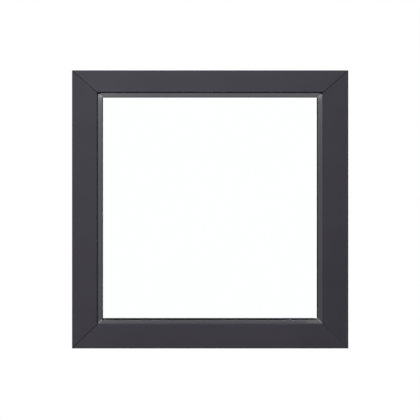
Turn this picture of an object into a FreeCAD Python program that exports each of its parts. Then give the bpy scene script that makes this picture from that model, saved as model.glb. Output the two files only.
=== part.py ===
import FreeCAD, Part
import math
import os

from FreeCAD import Vector

# Fixed picture window: a mitred frame of two aluminium shells joined by a thermal break,
# with a double-glazed unit held against the weather-side leg by clip-in glazing beads.
#
# Frame of the part: X to the right seen from the room, Y from the room to the weather, Z up.
# The origin is at the middle of the sill's underside.
#
# Sections are drawn in two directions: u runs inwards from the outer edge of the frame, or from
# the rebate floor for what is glazed in, and v runs from the room face towards the weather.

# Overall size, millimetres
window_width = 600.0
window_height = 604.0

# Face widths seen from the room, from the outer edge to the glazing bead
jamb_face = 56.5
head_face = 49.5
sill_face = 54.3

# Aluminium shells
shell_wall = 1.8
chamber_web = 1.5
edge_radius = 0.6
face_bevel = 3.0
bevel_depth = 4.8
room_seat = 6.0
weather_seat = 6.5
leg_height = 8.7
leg_depth = 19.5

# Hairline shadow groove where two mitred lengths meet, its width taken along a length
mitre_groove_width = 1.1
mitre_groove_depth = 1.2

# Thermal break strips and the grooves that are rolled onto them
strip_thickness = 2.0
strip_setback = 4.0
strip_foot_width = 3.6
strip_foot_depth = 2.5
groove_wall = 1.5

# Glazing beads, and the barbed rail that the hook on each bead's foot catches under
bead_setback = 5.0
bead_height = 9.5
sill_bead_height = 7.3
bead_depth = 13.5
bead_wall = 1.5
bead_inner_radius = 0.5
bead_nip_length = 7.5
bead_nip_height = 3.2
hook_height = 1.8
hook_reach = 0.8
barb_land = 0.4
rail_thickness = 1.3
clip_clearance = 0.2

# Gaskets: the room-side wedge stands further out of its gap along the right jamb
room_gasket_thickness = 4.0
weather_gasket_thickness = 4.0
room_gasket_height = 10.9
right_gasket_height = 12.2
room_gasket_heel = 6.0
weather_gasket_lip = 1.1
gasket_nose = 1.2
gasket_nose_radius = 0.8
gasket_root_clearance = 0.4
gasket_neck_width = 1.8
gasket_neck_depth = 1.0
gasket_foot_width = 3.0
gasket_foot_depth = 2.0
gasket_foot_clearance = 0.15

# Double-glazed unit, which its setting blocks hold a little above the middle of the rebate
pane_thickness = 4.0
pane_gap = 16.0
pane_arris = 0.6
glass_edge_clearance = 3.0
glazing_rise = 1.0
spacer_inset = 3.0
spacer_height = 4.7
spacer_chamfer = 1.5
spacer_wall = 0.6

# Setting blocks under the glass
block_length = 80.0
block_inset = 120.0
block_gap = 1.0

# Fixing holes through the jambs, under the beads
fixing_diameter = 7.0
fixing_inset = 150.0

# Drain slots in the weather face of the sill
drain_length = 30.0
drain_width = 6.0
drain_height = 14.0
drain_inset = 130.0

# Depths from the room face, worked out from the glazing stack
bead_back = bead_setback + bead_depth
rail_front = bead_setback + bead_wall + hook_reach + clip_clearance
rail_back = rail_front + rail_thickness
room_shell_back = bead_back + room_seat
glass_front = bead_back + room_gasket_thickness
cavity_front = glass_front + pane_thickness
cavity_back = cavity_front + pane_gap
glass_back = cavity_back + pane_thickness
leg_front = glass_back + weather_gasket_thickness
weather_shell_front = leg_front - weather_seat
frame_depth = leg_front + leg_depth

# Heights above the rebate floor
barb_root = hook_height + clip_clearance
rail_height = barb_root + barb_land + hook_reach
weather_gasket_height = leg_height + weather_gasket_lip
gasket_root = glass_edge_clearance + gasket_root_clearance
leg_groove_height = leg_height / 2
spacer_root = glass_edge_clearance + spacer_inset

# Sides in the order in which they follow each other round the frame
SIDES = ("left_jamb", "head", "right_jamb", "sill")
FACES = {"left_jamb": jamb_face, "head": head_face, "right_jamb": jamb_face, "sill": sill_face}
BEADS = {side: sill_bead_height if side == "sill" else bead_height for side in SIDES}
GASKETS = {side: right_gasket_height if side == "right_jamb" else room_gasket_height for side in SIDES}

# Rings on which the mitred lengths lie: left, right, bottom and top edges
FRAME_RING = (-window_width / 2, window_width / 2, 0.0, window_height)
REBATE_RING = (
    FRAME_RING[0] + jamb_face,
    FRAME_RING[1] - jamb_face,
    FRAME_RING[2] + sill_face,
    FRAME_RING[3] - head_face,
)

GLAZING_RING = (
    REBATE_RING[0],
    REBATE_RING[1],
    REBATE_RING[2] + glazing_rise,
    REBATE_RING[3] + glazing_rise,
)

# Inner corners that the mitres of each ring run to, before they go on at 45 degrees
FRAME_CORNERS = FACES
REBATE_CORNERS = {side: leg_height for side in SIDES}

# Long enough to pass right through any length of section
REACH = 2 * (max(FACES.values()) + max(GASKETS.values()))


def profile(*corners):
    """Flat face through corners (u, v), with a corner (u, v, radius) rounded by that radius."""
    points = [Vector(corner[0], corner[1], 0) for corner in corners]
    ends = []
    edges = []
    for index, corner in enumerate(corners):
        point = points[index]
        if len(corner) == 2:
            ends.append((point, point))
            continue
        radius = corner[2]
        back = (points[index - 1] - point).normalize()
        ahead = (points[(index + 1) % len(points)] - point).normalize()
        half_angle = back.getAngle(ahead) / 2
        tangent = radius / math.tan(half_angle)
        bisector = (back + ahead).normalize()
        crown = point + bisector * (radius / math.sin(half_angle) - radius)
        start = point + back * tangent
        end = point + ahead * tangent
        edges.append(Part.Arc(start, crown, end).toShape())
        ends.append((start, end))
    for index, (start, _) in enumerate(ends):
        previous_end = ends[index - 1][1]
        edges.append(Part.LineSegment(previous_end, start).toShape())
    return Part.Face(Part.Wire(Part.__sortEdges__(edges)))


def rectangle(u_low, u_high, v_low, v_high):
    """Flat face between two values of u and two of v."""
    return profile((u_low, v_low), (u_high, v_low), (u_high, v_high), (u_low, v_high))


def cut_all(shape, tools):
    """The shape with every tool taken out of it."""
    for tool in tools:
        shape = shape.cut(tool)
    return shape


def side_length(side, ring):
    """Outer length of one side of a ring."""
    left, right, bottom, top = ring
    return right - left if side in ("head", "sill") else top - bottom


def side_placement(side, ring):
    """Placement that takes (u, v, along) to the part's frame, at the middle of a ring's side."""
    left, right, bottom, top = ring
    bases = {
        "left_jamb": (left, (bottom + top) / 2),
        "head": ((left + right) / 2, top),
        "right_jamb": (right, (bottom + top) / 2),
        "sill": ((left + right) / 2, bottom),
    }
    x, z = bases[side]
    turn = 360 / len(SIDES) * SIDES.index(side)
    rotation = FreeCAD.Rotation(Vector(0, 1, 0), turn)
    return FreeCAD.Placement(Vector(x, -frame_depth / 2, z), rotation)


def mitre_block(side, ring, corners, v_low, v_high, set_back=0.0):
    """Solid between the two mitres of one side, each set back along the side's length.

    A mitre runs from the ring's outer corner to its inner corner and on at 45 degrees.
    """
    half = side_length(side, ring) / 2 - set_back
    index = SIDES.index(side)
    width = corners[side]
    outline = []
    for neighbour, sign in ((SIDES[index - 1], -1), (SIDES[(index + 1) % len(SIDES)], 1)):
        corner = half - corners[neighbour]
        end = [
            Vector(0, v_low, sign * half),
            Vector(width, v_low, sign * corner),
            Vector(REACH, v_low, sign * (corner - REACH + width)),
        ]
        outline += end if sign < 0 else end[::-1]
    return Part.Face(Part.makePolygon(outline + outline[:1])).extrude(Vector(0, v_high - v_low, 0))


def mitred_length(section, side, ring, corners, groove_face=None, groove_side=1):
    """One mitred length of a section, with a shadow groove at both ends of a seen face."""
    length = side_length(side, ring)
    section = section.copy()
    section.translate(Vector(0, 0, -length / 2))
    bar = section.extrude(Vector(0, 0, length))
    bar = bar.common(mitre_block(side, ring, corners, 0, frame_depth))
    if groove_face is not None:
        floor = groove_face + groove_side * mitre_groove_depth
        v_low, v_high = sorted((groove_face, floor))
        layer = Part.makeBox(REACH, v_high - v_low, length, Vector(0, v_low, -length / 2))
        kept = mitre_block(side, ring, corners, v_low, v_high, mitre_groove_width / 2)
        bar = bar.cut(layer.cut(kept))
    return bar


def placed(shape, side, ring):
    """The single solid of a shape, moved from its section's directions to the part's frame."""
    solid = shape.removeSplitter().Solids[0]
    solid.Placement = side_placement(side, ring).multiply(solid.Placement)
    return solid


def strip_section(centre):
    """Thermal break strip with a dovetail foot in each shell."""
    web = strip_thickness / 2
    foot = strip_foot_width / 2
    room_end = room_shell_back - strip_foot_depth
    weather_end = weather_shell_front + strip_foot_depth
    return profile(
        (centre - web, room_shell_back),
        (centre - foot, room_end),
        (centre + foot, room_end),
        (centre + web, room_shell_back),
        (centre + web, weather_shell_front),
        (centre + foot, weather_end),
        (centre - foot, weather_end),
        (centre - web, weather_shell_front),
    )


def strip_centres(side):
    """Places across the section of the outer strip and of the rebate strip."""
    offset = strip_setback + strip_thickness / 2
    return offset, FACES[side] - offset


def groove_pads(side, v_face, direction):
    """Thicker metal round the strip grooves of a shell, from its face inwards."""
    reach = strip_foot_width / 2 + groove_wall
    v_low, v_high = sorted((v_face, v_face + direction * (strip_foot_depth + groove_wall)))
    return [rectangle(c - reach, c + reach, v_low, v_high) for c in strip_centres(side)]


def moved_in(outline, wall):
    """Hollow that leaves a wall all round inside an outline."""
    return Part.Face(outline.OuterWire.makeOffset2D(-wall, join=2))


def chambers(side, outline, pads):
    """Hollow of a shell, less its middle web and its pads."""
    middle = FACES[side] / 2
    web = rectangle(middle - chamber_web / 2, middle + chamber_web / 2, 0, frame_depth)
    return cut_all(moved_in(outline, shell_wall), [web] + pads)


def room_shell_section(side):
    """Tube on the room side, bevelled towards the glass, with a barbed rail for the bead."""
    face = FACES[side]
    tube = profile(
        (0, 0),
        (face - face_bevel, 0),
        (face, bevel_depth),
        (face, room_shell_back),
        (0, room_shell_back),
    )
    outline = profile(
        (0, 0, edge_radius),
        (face - face_bevel, 0),
        (face, bevel_depth),
        (face, rail_front),
        (face + barb_root, rail_front),
        (face + barb_root, rail_front - hook_reach),
        (face + barb_root + barb_land, rail_front - hook_reach),
        (face + rail_height, rail_front),
        (face + rail_height, rail_back),
        (face, rail_back),
        (face, room_shell_back),
        (0, room_shell_back),
    )
    hollow = chambers(side, tube, groove_pads(side, room_shell_back, -1))
    grooves = [strip_section(centre) for centre in strip_centres(side)]
    return cut_all(outline, [hollow] + grooves)


def leg_groove_section(rebate):
    """Undercut groove in the weather-side leg that takes the gasket's foot."""
    middle = rebate + leg_groove_height
    neck = gasket_neck_width / 2 + gasket_foot_clearance
    foot = gasket_foot_width / 2 + gasket_foot_clearance
    neck_end = leg_front + gasket_neck_depth
    foot_end = neck_end + gasket_foot_depth + gasket_foot_clearance
    return profile(
        (middle - neck, leg_front),
        (middle - neck, neck_end),
        (middle - foot, neck_end),
        (middle - foot, foot_end),
        (middle + foot, foot_end),
        (middle + foot, neck_end),
        (middle + neck, neck_end),
        (middle + neck, leg_front),
    )


def weather_shell_section(side):
    """Tube on the weather side, with the glazing leg that the unit bears on."""
    face = FACES[side]
    leg = face + leg_height
    sharp = profile(
        (0, weather_shell_front),
        (face, weather_shell_front),
        (face, leg_front),
        (leg, leg_front),
        (leg, frame_depth - bevel_depth),
        (leg - face_bevel, frame_depth),
        (0, frame_depth),
    )
    outline = profile(
        (0, weather_shell_front),
        (face, weather_shell_front),
        (face, leg_front),
        (leg, leg_front),
        (leg, frame_depth - bevel_depth),
        (leg - face_bevel, frame_depth),
        (0, frame_depth, edge_radius),
    )
    groove_floor = leg_front + gasket_neck_depth + gasket_foot_depth + gasket_foot_clearance
    groove_pad = rectangle(face - shell_wall, leg, leg_front, groove_floor + groove_wall)
    hollow = chambers(side, sharp, groove_pads(side, weather_shell_front, 1) + [groove_pad])
    grooves = [strip_section(centre) for centre in strip_centres(side)]
    return cut_all(outline, [hollow, leg_groove_section(face)] + grooves)


def bead_section(height):
    """Channel that stands on the rebate floor, rounded where it is seen and hooked at its foot."""
    crown = height - bead_wall
    leg_inside = bead_setback + bead_wall
    return profile(
        (0, bead_setback),
        (height, bead_setback, bead_inner_radius + bead_wall),
        (height, bead_back),
        (0, bead_back),
        (0, bead_back - bead_wall),
        (crown, bead_back - bead_wall),
        (crown, leg_inside, bead_inner_radius),
        (hook_height, leg_inside),
        (hook_height, leg_inside + hook_reach),
        (0, leg_inside + hook_reach),
    )


def room_gasket_section(height):
    """Wedge gasket pushed in between the bead and the glass."""
    return profile(
        (gasket_root, bead_back),
        (room_gasket_heel, bead_back),
        (height, glass_front - gasket_nose, gasket_nose_radius),
        (height, glass_front),
        (gasket_root, glass_front),
    )


def weather_gasket_section():
    """Gasket between the glass and the weather-side leg, held by a foot in the leg's groove."""
    neck = gasket_neck_width / 2
    foot = gasket_foot_width / 2
    neck_end = leg_front + gasket_neck_depth + gasket_foot_clearance
    foot_end = leg_front + gasket_neck_depth + gasket_foot_depth
    middle = leg_groove_height
    return profile(
        (gasket_root, glass_back),
        (weather_gasket_height, glass_back),
        (weather_gasket_height, glass_back + gasket_nose, gasket_nose_radius),
        (leg_height, leg_front),
        (middle + neck, leg_front),
        (middle + neck, neck_end),
        (middle + foot, neck_end),
        (middle + foot, foot_end),
        (middle - foot, foot_end),
        (middle - foot, neck_end),
        (middle - neck, neck_end),
        (middle - neck, leg_front),
        (gasket_root, leg_front),
    )


def spacer_section():
    """Hollow bar between the panes, chamfered towards their edge."""
    crown = spacer_root + spacer_height
    outline = profile(
        (spacer_root, cavity_front + spacer_chamfer),
        (spacer_root + spacer_chamfer, cavity_front),
        (crown, cavity_front),
        (crown, cavity_back),
        (spacer_root + spacer_chamfer, cavity_back),
        (spacer_root, cavity_back - spacer_chamfer),
    )
    return outline.cut(moved_in(outline, spacer_wall))


def edge_seal_section():
    """Sealant between the panes, from their edge to the back of the spacer bar."""
    edge = glass_edge_clearance + pane_arris
    return profile(
        (edge, cavity_front),
        (spacer_root + spacer_chamfer, cavity_front),
        (spacer_root, cavity_front + spacer_chamfer),
        (spacer_root, cavity_back - spacer_chamfer),
        (spacer_root + spacer_chamfer, cavity_back),
        (edge, cavity_back),
    )


def fixing_holes(side):
    """Holes across a jamb, in the free floor between the rail and the back of its bead."""
    depth = (rail_back + bead_back - bead_wall) / 2
    offset = side_length(side, FRAME_RING) / 2 - fixing_inset
    radius = fixing_diameter / 2
    return [
        Part.makeCylinder(radius, REACH, Vector(-radius, depth, along), Vector(1, 0, 0))
        for along in (-offset, offset)
    ]


def drain_slots():
    """Round-ended slots through the weather wall of the sill."""
    offset = window_width / 2 - drain_inset
    straight = (drain_length - drain_width) / 2
    radius = drain_width / 2
    start = frame_depth - shell_wall - radius
    slots = []
    for middle in (-offset, offset):
        box = Part.makeBox(
            drain_width,
            REACH,
            2 * straight,
            Vector(drain_height - radius, start, middle - straight),
        )
        ends = [
            Part.makeCylinder(radius, REACH, Vector(drain_height, start, along), Vector(0, 1, 0))
            for along in (middle - straight, middle + straight)
        ]
        slots.append(box.multiFuse(ends))
    return slots


def inside_frame(side):
    """Room-side length of the frame."""
    bar = mitred_length(room_shell_section(side), side, FRAME_RING, FRAME_CORNERS, 0, 1)
    if side.endswith("jamb"):
        bar = cut_all(bar, fixing_holes(side))
    return placed(bar, side, FRAME_RING)


def outside_frame(side):
    """Weather-side length of the frame."""
    section = weather_shell_section(side)
    bar = mitred_length(section, side, FRAME_RING, FRAME_CORNERS, frame_depth, -1)
    if side == "sill":
        bar = cut_all(bar, drain_slots())
    return placed(bar, side, FRAME_RING)


def thermal_break(side):
    """The outer strip and the rebate strip of one side."""
    strips = []
    for centre in strip_centres(side):
        strip = mitred_length(strip_section(centre), side, FRAME_RING, FRAME_CORNERS)
        strips.append(placed(strip, side, FRAME_RING))
    return Part.makeCompound(strips)


def glazed_in(section, side, ring):
    """A square-mitred length that lies in the rebate."""
    return placed(mitred_length(section, side, ring, REBATE_CORNERS), side, ring)


def glazing_bead(side):
    """One bead, with its outer corner nipped off where it meets another at the head."""
    bead = glazed_in(bead_section(BEADS[side]), side, REBATE_RING)
    left, right, _, top = REBATE_RING
    room = -frame_depth / 2
    for x, inwards in ((left, 1), (right, -1)):
        outline = [
            Vector(x, room, top),
            Vector(x + inwards * bead_nip_length, room, top),
            Vector(x, room, top - bead_nip_height),
        ]
        corner = Part.Face(Part.makePolygon(outline + outline[:1]))
        bead = bead.cut(corner.extrude(Vector(0, frame_depth, 0)))
    return bead.Solids[0]


def pane(v_front):
    """One sheet of glass with its edges taken off."""
    left, right, bottom, top = GLAZING_RING
    sheet = Part.makeBox(
        right - left - 2 * glass_edge_clearance,
        pane_thickness,
        top - bottom - 2 * glass_edge_clearance,
        Vector(
            left + glass_edge_clearance,
            v_front - frame_depth / 2,
            bottom + glass_edge_clearance,
        ),
    )
    return sheet.makeChamfer(pane_arris, sheet.Edges)


def setting_block(sign):
    """Packer that carries the glass and bridges the two shells of the sill."""
    front = bead_back + block_gap
    back = glass_back - block_gap
    height = glass_edge_clearance + glazing_rise
    middle = sign * (window_width / 2 - jamb_face - block_inset)
    corner = Vector(middle - block_length / 2, front - frame_depth / 2, sill_face)
    return Part.makeBox(block_length, back - front, height, corner)


def build_nodes():
    """Every piece of the window by the name of its node."""
    nodes = {
        "inner_pane": pane(glass_front),
        "outer_pane": pane(cavity_back),
        "setting_block_left": setting_block(-1),
        "setting_block_right": setting_block(1),
    }
    for side in SIDES:
        nodes["inside_frame_" + side] = inside_frame(side)
        nodes["outside_frame_" + side] = outside_frame(side)
        nodes["thermal_break_" + side] = thermal_break(side)
        nodes["glazing_bead_" + side] = glazing_bead(side)
        wedge = room_gasket_section(GASKETS[side])
        nodes["inner_gasket_" + side] = glazed_in(wedge, side, GLAZING_RING)
        nodes["outer_gasket_" + side] = glazed_in(weather_gasket_section(), side, REBATE_RING)
        nodes["spacer_bar_" + side] = glazed_in(spacer_section(), side, GLAZING_RING)
        nodes["edge_seal_" + side] = glazed_in(edge_seal_section(), side, GLAZING_RING)
    return nodes


os.makedirs("parts", exist_ok=True)
for name, shape in build_nodes().items():
    shape.exportStep("parts/" + name + ".step")
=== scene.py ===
import math
from collections import namedtuple

import bpy
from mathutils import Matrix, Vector


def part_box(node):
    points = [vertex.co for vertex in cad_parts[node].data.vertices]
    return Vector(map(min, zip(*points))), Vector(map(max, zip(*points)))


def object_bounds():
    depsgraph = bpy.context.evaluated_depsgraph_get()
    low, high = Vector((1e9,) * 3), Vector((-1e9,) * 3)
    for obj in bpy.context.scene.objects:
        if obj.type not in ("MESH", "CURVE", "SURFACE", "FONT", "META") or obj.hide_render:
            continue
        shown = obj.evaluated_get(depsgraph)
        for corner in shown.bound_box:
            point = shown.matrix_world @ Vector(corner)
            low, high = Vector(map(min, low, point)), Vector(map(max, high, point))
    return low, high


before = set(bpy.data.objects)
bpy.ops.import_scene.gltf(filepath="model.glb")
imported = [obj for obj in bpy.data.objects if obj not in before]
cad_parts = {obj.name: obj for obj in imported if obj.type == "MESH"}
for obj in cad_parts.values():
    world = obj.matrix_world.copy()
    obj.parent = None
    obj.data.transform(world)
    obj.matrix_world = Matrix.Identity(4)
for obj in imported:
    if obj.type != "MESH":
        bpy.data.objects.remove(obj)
cad_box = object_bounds()

# About how many features a texture has in a metre, how finely they are broken up, and the share of
# them that is left along a member where the texture is drawn out that way
Texture = namedtuple("Texture", "scale detail drawn_out", defaults=(1.0,))

# A rectangle in the plane of the window, and distances inwards from one: from its nearer side, its
# right side, its top and its bottom
Ring = namedtuple("Ring", "left right bottom top")
Inwards = namedtuple("Inwards", "side right top bottom")

# Numbers of the Mix node's colour sockets, whose names its sockets for other values share
MIX_FIRST = 6
MIX_SECOND = 7
MIX_RESULT = 2

# Camera: straight on from the room side, without perspective. Its place is in metres.
PHOTO_PIXELS = 420
METRES_PER_PIXEL = 0.0021714
CAMERA_X = -0.0004
CAMERA_Z = 0.3007
CAMERA_DISTANCE = 3.0

# Lamps: their distance in metres, and for the pair before the two faces of the window and the pair
# beside its two jambs the direction to the first lamp, what takes this to the second, the size of
# a lamp and its level at the window
LAMP_DISTANCE = 2.5
FACE_LAMP = Vector((-0.38, -1.0, 0.60))
TO_OTHER_FACE = Vector((-1, -1, 1))
FACE_LAMP_SIZE = 0.5
FACE_LAMP_LEVEL = 0.95
SIDE_LAMP = Vector((-1.0, 0.07, 0.25))
TO_OTHER_SIDE = Vector((-1, 1, 1))
SIDE_LAMP_SIZE = 0.3
SIDE_LAMP_LEVEL = 0.6

# World: its level where it only lights, and where it is seen
WORLD_FILL = 0.04
WORLD_SEEN = 1.0

# Floor: its tone where it is seen and where it only throws light back, and its glow near the window
# and further away, which evens out the lamps, with the distances between which this changes
FLOOR_SIZE = 8.0
FLOOR_TONE = 0.45
FLOOR_BOUNCE = 0.08
FLOOR_GLOW = (0.38, 0.74)
FLOOR_GLOW_CHANGE = (0.5, 3.0)
FLOOR_ROUGHNESS = 0.9
FLOOR_GLOSS = 0.0
WHITE = (1.0, 1.0, 1.0, 1.0)

# Direction in which a member runs
UPRIGHT = "Z"
RAIL = "X"

# In the finishes below, colours are in linear light. A roughness has the values at the smooth and
# the rough spots, a relief its strength and its depth in metres, and a gloss is the shader's
# specular level. Colour and roughness change between these values of a texture.
COLOUR_CHANGE = (0.35, 0.65)
ROUGHNESS_CHANGE = (0.30, 0.70)

# Coat of the frame and the beads: how far its tone varies, and its textures
COAT_SPREAD = 0.06
COAT_MOTTLE = Texture(9.0, 3.0)
COAT_GRAIN = Texture(1400.0, 2.0)
COAT_PEEL = Texture(650.0, 1.0)
COAT_ROUGHNESS = (0.46, 0.60)
COAT_RELIEF = (0.12, 0.0002)

# Frame: its colour, and the tone of each member beside the others', with the rails painted lighter than
# the uprights as painted light
FRAME_COLOUR = (0.0472, 0.0452, 0.0545)
FRAME_LIT_TONE = {UPRIGHT: 1.0, RAIL: 1.08}
FRAME_GLOSS = 0.02

# Sealant in the frame's mitres, in metres: between which distances from a mitre it ends, and
# between which distances from the lower right corner it thins out, with the share left at both
SEALANT = (0.009, 0.009, 0.010, 1.0)
SEALANT_EDGE = (0.00044, 0.00066)
SEALANT_FADE = (0.0, 0.12)
SEALANT_SHARE = (0.1, 1.0)

# Beads: their colour, and the tone of each beside the others', with the rails painted lighter than the
# uprights as painted light
BEAD_COLOUR = (0.0736, 0.0716, 0.0805)
BEAD_LIT_TONE = {UPRIGHT: 0.98, RAIL: 1.18}
BEAD_GLOSS = 0.04

# Painted highlight on the beads, lightening them towards their ends: its colour, its strength, and how
# far it fades along a bead in metres
BEAD_HIGHLIGHT = (0.119, 0.117, 0.129, 1.0)
BEAD_HIGHLIGHT_SHARE = {UPRIGHT: 1.0, RAIL: 0.7}
BEAD_HIGHLIGHT_LENGTH = 0.090

# Wear and painted highlight on the beads, in metres: between which distances from a mitre its line of
# wear ends, the stretch over which this changes from its outer to its inner end, and where the painted
# highlights at the tops of the uprights and at the right end of the sill begin to fade and stop
BARE_METAL_AND_HIGHLIGHT = (0.42, 0.42, 0.43, 1.0)
WORN_LINE_EDGE = (0.00056, 0.0028)
WORN_LINE_CHANGE = (0.002, 0.007)
TOP_HIGHLIGHT_EDGE = (0.004, 0.020)
SILL_END_HIGHLIGHT_EDGE = (0.022, 0.045)

# Share of that colour: at the two ends of a line of wear, and in the two painted highlights
SILL_LINE_WEAR = (0.36, 0.60)
HEAD_LINE_WEAR = (0.0, 0.50)
TOP_HIGHLIGHT = 0.24
SILL_END_HIGHLIGHT = 0.12

# Rubber of the gaskets
RUBBER_DARK = (0.004, 0.004, 0.005, 1.0)
RUBBER_LIGHT = (0.010, 0.010, 0.012, 1.0)
RUBBER_BLOOM = Texture(60.0, 4.0, 0.2)
RUBBER_PORES = Texture(2200.0, 2.0)
RUBBER_ROUGHNESS = (0.70, 0.88)
RUBBER_RELIEF = (0.15, 0.0001)
RUBBER_GLOSS = 0.08

# Painted light on the gaskets: a pale spot at the tops of the upright gaskets and at both ends of the
# others, which
# lightens corners that lie in shade: its share in these corners, and how far it fades in metres
CORNER_LIGHT = (0.30, 0.30, 0.31, 1.0)
CORNER_LIGHT_SHARE = 0.8
CORNER_LIGHT_LENGTH = 0.0035

# Polyamide of the thermal break, and the values of its fibres between which its colour changes
POLYAMIDE_DARK = (0.012, 0.012, 0.013, 1.0)
POLYAMIDE_LIGHT = (0.030, 0.030, 0.032, 1.0)
POLYAMIDE_FIBRES = Texture(900.0, 3.0, 0.15)
FIBRE_CHANGE = (0.45, 0.70)
POLYAMIDE_ROUGHNESS = (0.50, 0.68)
POLYAMIDE_RELIEF = (0.10, 0.0001)
POLYAMIDE_GLOSS = 0.3

# Metal of the spacer bar, and the values of its lines between which its colour changes
SPACER_DARK = (0.30, 0.30, 0.31, 1.0)
SPACER_LIGHT = (0.42, 0.42, 0.43, 1.0)
SPACER_LINES = Texture(700.0, 2.0, 0.02)
LINE_CHANGE = (0.30, 0.70)
SPACER_METALLIC = 0.7
SPACER_ROUGHNESS = (0.32, 0.46)

# Holes in the spacer bar, painted on as dark spots of painted shade, in metres: their spacing, and
# between which distances from its middle each one ends
HOLE_SHADE = (0.02, 0.02, 0.02, 1.0)
HOLE_PITCH = 0.003
HOLE_EDGE = (0.00032, 0.00048)

# Sealant round the edge of the glazed unit
SEAL_DARK = (0.008, 0.008, 0.009, 1.0)
SEAL_LIGHT = (0.022, 0.022, 0.024, 1.0)
SEAL_SMEARS = Texture(300.0, 3.0, 0.1)
SEAL_ROUGHNESS = (0.55, 0.75)
SEAL_RELIEF = (0.20, 0.0003)

# Plastic of the setting blocks
BLOCK_DARK = (0.030, 0.060, 0.110, 1.0)
BLOCK_LIGHT = (0.045, 0.085, 0.150, 1.0)
BLOCK_CLOUD = Texture(120.0, 3.0)
BLOCK_PORES = Texture(900.0, 2.0)
BLOCK_ROUGHNESS = (0.42, 0.55)
BLOCK_RELIEF = (0.08, 0.0001)

# Glass, and the values of its film between which its roughness changes
GLASS_TINT = (0.994, 1.0, 0.997, 1.0)
GLASS_IOR = 1.52
GLASS_FILM = Texture(14.0, 4.0)
FILM_CHANGE = (0.45, 0.75)
GLASS_ROUGHNESS = (0.0, 0.02)


def outer_ring(kind):
    """The outer edges of the four members of a kind."""
    return Ring(
        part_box(kind + "_left_jamb")[0].x,
        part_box(kind + "_right_jamb")[1].x,
        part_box(kind + "_sill")[0].z,
        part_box(kind + "_head")[1].z,
    )


def inner_ring(kind):
    """The inner edges of the four members of a kind."""
    return Ring(
        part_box(kind + "_left_jamb")[1].x,
        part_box(kind + "_right_jamb")[0].x,
        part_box(kind + "_sill")[1].z,
        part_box(kind + "_head")[0].z,
    )


# Outer edge of the frame, the line where its face ends at the beads, and the edge of the clear view
OUTER = outer_ring("inside_frame")
INNER = outer_ring("glazing_bead")
SIGHT = inner_ring("inner_gasket")


class Nodes:
    """A node tree, and the ways of adding to it."""

    def __init__(self, tree):
        self.tree = tree

    def add(self, kind, inputs=None, **settings):
        """A node with its settings made and its inputs set or linked."""
        node = self.tree.nodes.new(kind)
        for name, value in settings.items():
            setattr(node, name, value)
        for key, value in (inputs or {}).items():
            self.feed(node.inputs[key], value)
        return node

    def feed(self, socket, value):
        """Links an output to a socket, or sets the socket to a plain value."""
        if isinstance(value, bpy.types.NodeSocket):
            self.tree.links.new(value, socket)
        else:
            socket.default_value = value

    def math(self, operation, *values):
        """The result of an operation on numbers."""
        return self.add("ShaderNodeMath", dict(enumerate(values)), operation=operation).outputs[0]

    def seen(self):
        """One for a ray that shows the background, straight or in metal and glass."""
        path = self.add("ShaderNodeLightPath").outputs
        straight = self.math("MAXIMUM", path["Is Camera Ray"], path["Is Glossy Ray"])
        return self.math("MAXIMUM", straight, path["Is Transmission Ray"])


class Look(Nodes):
    """A material and the nodes that make it."""

    def __init__(self, name):
        self.material = bpy.data.materials.new(name)
        self.material.use_nodes = True
        super().__init__(self.material.node_tree)
        self.shader = self.tree.nodes["Principled BSDF"]
        self.surface = self.tree.nodes["Material Output"].inputs["Surface"]
        self.place = self.add("ShaderNodeTexCoord").outputs["Object"]

    def shade(self, **values):
        """Sets the shader's sockets by their names, with underscores for spaces."""
        for name, value in values.items():
            self.feed(self.shader.inputs[name.replace("_", " ")], value)

    def axes(self):
        """The place on the three axes."""
        return self.add("ShaderNodeSeparateXYZ", {"Vector": self.place}).outputs

    def inwards(self, ring):
        """Distances inwards from a ring."""
        axes = self.axes()
        from_left = self.math("SUBTRACT", axes["X"], ring.left)
        from_right = self.math("SUBTRACT", ring.right, axes["X"])
        from_top = self.math("SUBTRACT", ring.top, axes["Z"])
        from_bottom = self.math("SUBTRACT", axes["Z"], ring.bottom)
        return Inwards(self.math("MINIMUM", from_left, from_right), from_right, from_top, from_bottom)

    def length(self, vector):
        """Length of a vector."""
        return self.add("ShaderNodeVectorMath", {0: vector}, operation="LENGTH").outputs["Value"]

    def hypot(self, first, second):
        """Distance made up of two others at right angles."""
        return self.length(self.add("ShaderNodeCombineXYZ", {"X": first, "Y": second}).outputs[0])

    def between(self, first, second):
        """How far two numbers lie apart."""
        return self.math("ABSOLUTE", self.math("SUBTRACT", first, second))

    def fade(self, distance, length):
        """One at no distance, and ever less further away."""
        return self.math("EXPONENT", self.math("DIVIDE", distance, -length))

    def remap(self, value, low, high, to_low=0.0, to_high=1.0):
        """A value between low and high, taken smoothly to another range."""
        inputs = {"Value": value, "From Min": low, "From Max": high, "To Min": to_low, "To Max": to_high}
        return self.add("ShaderNodeMapRange", inputs, interpolation_type="SMOOTHSTEP").outputs[0]

    def near(self, distance, edge, level=1.0):
        """A level up to the first distance of an edge, and nothing past the second."""
        return self.remap(distance, *edge, level, 0.0)

    def noise(self, texture, run=None):
        """Noise with the features of a texture, drawn out along the way that a member runs."""
        place = self.place
        if run is not None:
            scale = tuple(texture.drawn_out if axis == run else 1.0 for axis in "XYZ")
            place = self.add("ShaderNodeMapping", {"Vector": place, "Scale": scale}).outputs["Vector"]
        inputs = {"Vector": place, "Scale": texture.scale, "Detail": texture.detail}
        return self.add("ShaderNodeTexNoise", inputs).outputs["Fac"]

    def mix(self, factor, first, second):
        """A colour between two others."""
        inputs = {"Factor": factor, MIX_FIRST: first, MIX_SECOND: second}
        return self.add("ShaderNodeMix", inputs, data_type="RGBA").outputs[MIX_RESULT]

    def bump(self, height, strength, distance):
        """A normal roughened by a height, in metres."""
        inputs = {"Height": height, "Strength": strength, "Distance": distance}
        return self.add("ShaderNodeBump", inputs).outputs["Normal"]


def grey(level):
    """A grey of a level in linear light."""
    return (level, level, level, 1.0)


def toned(colour, tone):
    """A colour at another tone."""
    return tuple(channel * tone for channel in colour) + (1.0,)


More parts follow.
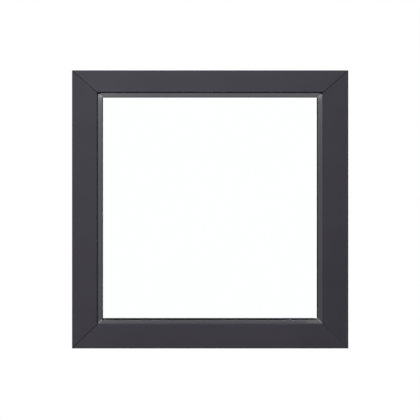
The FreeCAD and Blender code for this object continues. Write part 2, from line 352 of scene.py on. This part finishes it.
def powder_coat(look, colour, tone):
    """Fine-textured coat: a mottled tone, a fine grain and an orange-peel surface."""
    mottle = look.noise(COAT_MOTTLE)
    grain = look.noise(COAT_GRAIN)
    peel = look.noise(COAT_PEEL)
    look.shade(
        Roughness=look.remap(peel, *ROUGHNESS_CHANGE, *COAT_ROUGHNESS),
        Normal=look.bump(look.math("ADD", peel, grain), *COAT_RELIEF),
    )
    spots = look.math("DIVIDE", look.math("ADD", mottle, grain), 2.0)
    dark = toned(colour, tone * (1 - COAT_SPREAD))
    light = toned(colour, tone * (1 + COAT_SPREAD))
    return look.mix(look.remap(spots, *COLOUR_CHANGE), dark, light)


def from_frame_mitre(look, inwards):
    """Distance from the nearest of the four lines where two sides of the frame meet."""
    jamb = OUTER.right - INNER.right
    head = OUTER.top - INNER.top
    sill = INNER.bottom - OUTER.bottom
    distances = []
    for rail, from_end in ((head, inwards.top), (sill, inwards.bottom)):
        diagonal = math.hypot(jamb, rail)
        one_way = look.math("MULTIPLY", inwards.side, rail / diagonal)
        other_way = look.math("MULTIPLY", from_end, jamb / diagonal)
        distances.append(look.between(one_way, other_way))
    return look.math("MINIMUM", *distances)


def frame_coat(run):
    """Anthracite coat of the two shells, painted lighter on the rails as painted light, with dark
    sealant in their mitres.
    """
    look = Look("anthracite_coat_" + run)
    # Painted light: the rails get a lighter tone than the uprights
    coat = powder_coat(look, FRAME_COLOUR, FRAME_LIT_TONE[run])
    inwards = look.inwards(OUTER)
    line = look.near(from_frame_mitre(look, inwards), SEALANT_EDGE)
    from_lower_right = look.hypot(inwards.right, inwards.bottom)
    share = look.remap(from_lower_right, *SEALANT_FADE, *SEALANT_SHARE)
    sealed = look.math("MULTIPLY", line, share)
    look.shade(Base_Color=look.mix(sealed, coat, SEALANT), Specular_IOR_Level=FRAME_GLOSS)
    return look.material


def bead_coat(run):
    """Lighter coat of the beads, with a painted lighter tone on the rails, a painted highlight fading
    from one end or both and at the corners, and bare metal from wear along the mitres.
    """
    look = Look("bead_coat_" + run)
    # Painted light: the rails get a lighter tone than the uprights
    coat = powder_coat(look, BEAD_COLOUR, BEAD_LIT_TONE[run])
    inwards = look.inwards(INNER)
    if run == UPRIGHT:
        from_end = inwards.top
        # Painted highlight at the top of an upright
        wear_and_highlight = look.near(inwards.top, TOP_HIGHLIGHT_EDGE, TOP_HIGHLIGHT)
    else:
        from_end = inwards.side
        from_lower_right = look.hypot(inwards.right, inwards.bottom)
        # Painted highlight at the right end of the sill
        wear_and_highlight = look.near(from_lower_right, SILL_END_HIGHLIGHT_EDGE, SILL_END_HIGHLIGHT)
    # Painted highlight: the coat lightens towards the top of an upright or both ends of a rail
    highlit_end = look.math("MULTIPLY", look.fade(from_end, BEAD_HIGHLIGHT_LENGTH), BEAD_HIGHLIGHT_SHARE[run])
    coat = look.mix(highlit_end, coat, BEAD_HIGHLIGHT)
    # Lines of wear to bare metal along the mitres
    for from_rail, wear in ((inwards.bottom, SILL_LINE_WEAR), (inwards.top, HEAD_LINE_WEAR)):
        line = look.near(look.between(inwards.side, from_rail), WORN_LINE_EDGE)
        share = look.remap(inwards.side, *WORN_LINE_CHANGE, *wear)
        wear_and_highlight = look.math("MAXIMUM", wear_and_highlight, look.math("MULTIPLY", line, share))
    look.shade(Base_Color=look.mix(wear_and_highlight, coat, BARE_METAL_AND_HIGHLIGHT), Specular_IOR_Level=BEAD_GLOSS)
    return look.material


def rubber(run):
    """Matt black gasket with a faint bloom, drawn out along its length, and painted light in its
    corners.
    """
    look = Look("gasket_rubber_" + run)
    bloom = look.noise(RUBBER_BLOOM, run)
    pores = look.noise(RUBBER_PORES)
    black = look.mix(look.remap(bloom, *COLOUR_CHANGE), RUBBER_DARK, RUBBER_LIGHT)
    inwards = look.inwards(SIGHT)
    if run == UPRIGHT:
        from_corner = look.hypot(inwards.side, inwards.top)
    else:
        from_corner = look.hypot(inwards.side, look.math("MINIMUM", inwards.bottom, inwards.top))
    # Painted light: a pale spot in the gasket's corners
    lit_corner = look.math("MULTIPLY", look.fade(from_corner, CORNER_LIGHT_LENGTH), CORNER_LIGHT_SHARE)
    look.shade(
        Base_Color=look.mix(lit_corner, black, CORNER_LIGHT),
        Roughness=look.remap(pores, *ROUGHNESS_CHANGE, *RUBBER_ROUGHNESS),
        Specular_IOR_Level=RUBBER_GLOSS,
        Normal=look.bump(pores, *RUBBER_RELIEF),
    )
    return look.material


def polyamide(run):
    """Glass-filled plastic of the thermal break, with short pale fibres."""
    look = Look("thermal_break_polyamide_" + run)
    fibres = look.noise(POLYAMIDE_FIBRES, run)
    look.shade(
        Base_Color=look.mix(look.remap(fibres, *FIBRE_CHANGE), POLYAMIDE_DARK, POLYAMIDE_LIGHT),
        Roughness=look.remap(fibres, *ROUGHNESS_CHANGE, *POLYAMIDE_ROUGHNESS),
        Specular_IOR_Level=POLYAMIDE_GLOSS,
        Normal=look.bump(fibres, *POLYAMIDE_RELIEF),
    )
    return look.material


def spacer_metal(run):
    """Satin spacer bar with a row of small holes to the drying agent inside, painted on as spots of
    painted shade.
    """
    look = Look("spacer_metal_" + run)
    lines = look.noise(SPACER_LINES, run)
    metal = look.mix(look.remap(lines, *LINE_CHANGE), SPACER_DARK, SPACER_LIGHT)
    low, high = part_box("spacer_bar_sill")
    axes = look.axes()
    along = look.math("PINGPONG", axes[run], HOLE_PITCH / 2)
    across = look.math("SUBTRACT", axes["Y"], (low.y + high.y) / 2)
    # Painted shade: the holes are dark spots
    hole_shade = look.near(look.hypot(along, across), HOLE_EDGE)
    look.shade(
        Base_Color=look.mix(hole_shade, metal, HOLE_SHADE),
        Metallic=SPACER_METALLIC,
        Roughness=look.remap(lines, *ROUGHNESS_CHANGE, *SPACER_ROUGHNESS),
    )
    return look.material


def edge_sealant(run):
    """Dark sealant round the edge of the glazed unit, smoothed along its length."""
    look = Look("edge_sealant_" + run)
    smears = look.noise(SEAL_SMEARS, run)
    look.shade(
        Base_Color=look.mix(look.remap(smears, *COLOUR_CHANGE), SEAL_DARK, SEAL_LIGHT),
        Roughness=look.remap(smears, *ROUGHNESS_CHANGE, *SEAL_ROUGHNESS),
        Normal=look.bump(smears, *SEAL_RELIEF),
    )
    return look.material


def block_plastic():
    """Coloured packer under the glass."""
    look = Look("setting_block_plastic")
    cloud = look.noise(BLOCK_CLOUD)
    look.shade(
        Base_Color=look.mix(look.remap(cloud, *COLOUR_CHANGE), BLOCK_DARK, BLOCK_LIGHT),
        Roughness=look.remap(cloud, *ROUGHNESS_CHANGE, *BLOCK_ROUGHNESS),
        Normal=look.bump(look.noise(BLOCK_PORES), *BLOCK_RELIEF),
    )
    return look.material


def pane_glass():
    """Clear float glass that lets the lamps through, with a faint film on its faces."""
    look = Look("clear_glass")
    film = look.noise(GLASS_FILM)
    look.shade(
        Base_Color=GLASS_TINT,
        Roughness=look.remap(film, *FILM_CHANGE, *GLASS_ROUGHNESS),
        IOR=GLASS_IOR,
        Transmission_Weight=1.0,
    )
    clear = look.add("ShaderNodeBsdfTransparent", {"Color": GLASS_TINT})
    path = look.add("ShaderNodeLightPath").outputs
    lamp_ray = look.math("MAXIMUM", path["Is Shadow Ray"], path["Is Diffuse Ray"])
    inputs = {0: lamp_ray, 1: look.shader.outputs[0], 2: clear.outputs[0]}
    look.feed(look.surface, look.add("ShaderNodeMixShader", inputs).outputs[0])
    return look.material


def dress_nodes():
    """Gives every node the look of its slot in the record, turned to the way it runs."""
    members = {
        "frame_coat": frame_coat,
        "bead_coat": bead_coat,
        "thermal_break": polyamide,
        "gasket": rubber,
        "spacer": spacer_metal,
        "edge_seal": edge_sealant,
    }
    looks = {(slot, run): make(run) for slot, make in members.items() for run in (UPRIGHT, RAIL)}
    looks["glass", RAIL] = pane_glass()
    looks["setting_block", RAIL] = block_plastic()
    for name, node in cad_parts.items():
        slot = node.data.materials[0].name
        run = UPRIGHT if name.endswith("jamb") else RAIL
        node.data.materials[0] = looks[slot, run]


def pale_floor():
    """Plain pale floor that takes the window's shadow."""
    half = FLOOR_SIZE / 2
    corners = [(-half, -half, 0), (half, -half, 0), (half, half, 0), (-half, half, 0)]
    mesh = bpy.data.meshes.new("floor")
    mesh.from_pydata(corners, [], [(0, 1, 2, 3)])
    floor = bpy.data.objects.new("floor", mesh)
    bpy.context.scene.collection.objects.link(floor)
    look = Look("pale_floor")
    seen = look.seen()
    glow = look.remap(look.length(look.place), *FLOOR_GLOW_CHANGE, *FLOOR_GLOW)
    look.shade(
        Base_Color=look.mix(seen, grey(FLOOR_BOUNCE), grey(FLOOR_TONE)),
        Roughness=FLOOR_ROUGHNESS,
        Specular_IOR_Level=FLOOR_GLOSS,
        Emission_Color=WHITE,
        Emission_Strength=look.math("MULTIPLY", seen, glow),
    )
    mesh.materials.append(look.material)


def white_world():
    """White where it is seen, and a weak fill where it only lights."""
    world = bpy.data.worlds.new("studio")
    world.use_nodes = True
    bpy.context.scene.world = world
    nodes = Nodes(world.node_tree)
    inputs = {"Value": nodes.seen(), "To Min": WORLD_FILL, "To Max": WORLD_SEEN}
    level = nodes.add("ShaderNodeMapRange", inputs)
    background = nodes.tree.nodes["Background"].inputs
    nodes.feed(background["Color"], WHITE)
    nodes.feed(background["Strength"], level.outputs[0])


def lamp(name, direction, size, level):
    """Soft lamp: at level 1, a colour on the side that it faces renders about as it is written."""
    direction = direction.normalized()
    squareness = max(abs(direction.x), abs(direction.y))
    data = bpy.data.lights.new(name, "AREA")
    data.shape = "SQUARE"
    data.size = size
    # Watts over pi times the distance squared is the light straight ahead of a lamp, and a colour in
    # light of pi renders as it is written
    data.energy = level * math.pi**2 * LAMP_DISTANCE**2 / squareness
    piece = bpy.data.objects.new(name, data)
    piece.location = (cad_box[0] + cad_box[1]) / 2 + direction * LAMP_DISTANCE
    piece.rotation_euler = direction.to_track_quat("Z", "Y").to_euler()
    bpy.context.scene.collection.objects.link(piece)


def camera():
    """The photograph's straight view."""
    data = bpy.data.cameras.new("camera")
    data.type = "ORTHO"
    data.ortho_scale = PHOTO_PIXELS * METRES_PER_PIXEL
    viewer = bpy.data.objects.new("camera", data)
    viewer.location = (CAMERA_X, -CAMERA_DISTANCE, CAMERA_Z)
    viewer.rotation_euler = (math.pi / 2, 0, 0)
    bpy.context.scene.collection.objects.link(viewer)
    bpy.context.scene.camera = viewer


bpy.context.scene.view_settings.view_transform = "Standard"
dress_nodes()
pale_floor()
white_world()
lamp("room_lamp", FACE_LAMP, FACE_LAMP_SIZE, FACE_LAMP_LEVEL)
lamp("weather_lamp", FACE_LAMP * TO_OTHER_FACE, FACE_LAMP_SIZE, FACE_LAMP_LEVEL)
lamp("left_lamp", SIDE_LAMP, SIDE_LAMP_SIZE, SIDE_LAMP_LEVEL)
lamp("right_lamp", SIDE_LAMP * TO_OTHER_SIDE, SIDE_LAMP_SIZE, SIDE_LAMP_LEVEL)
camera()
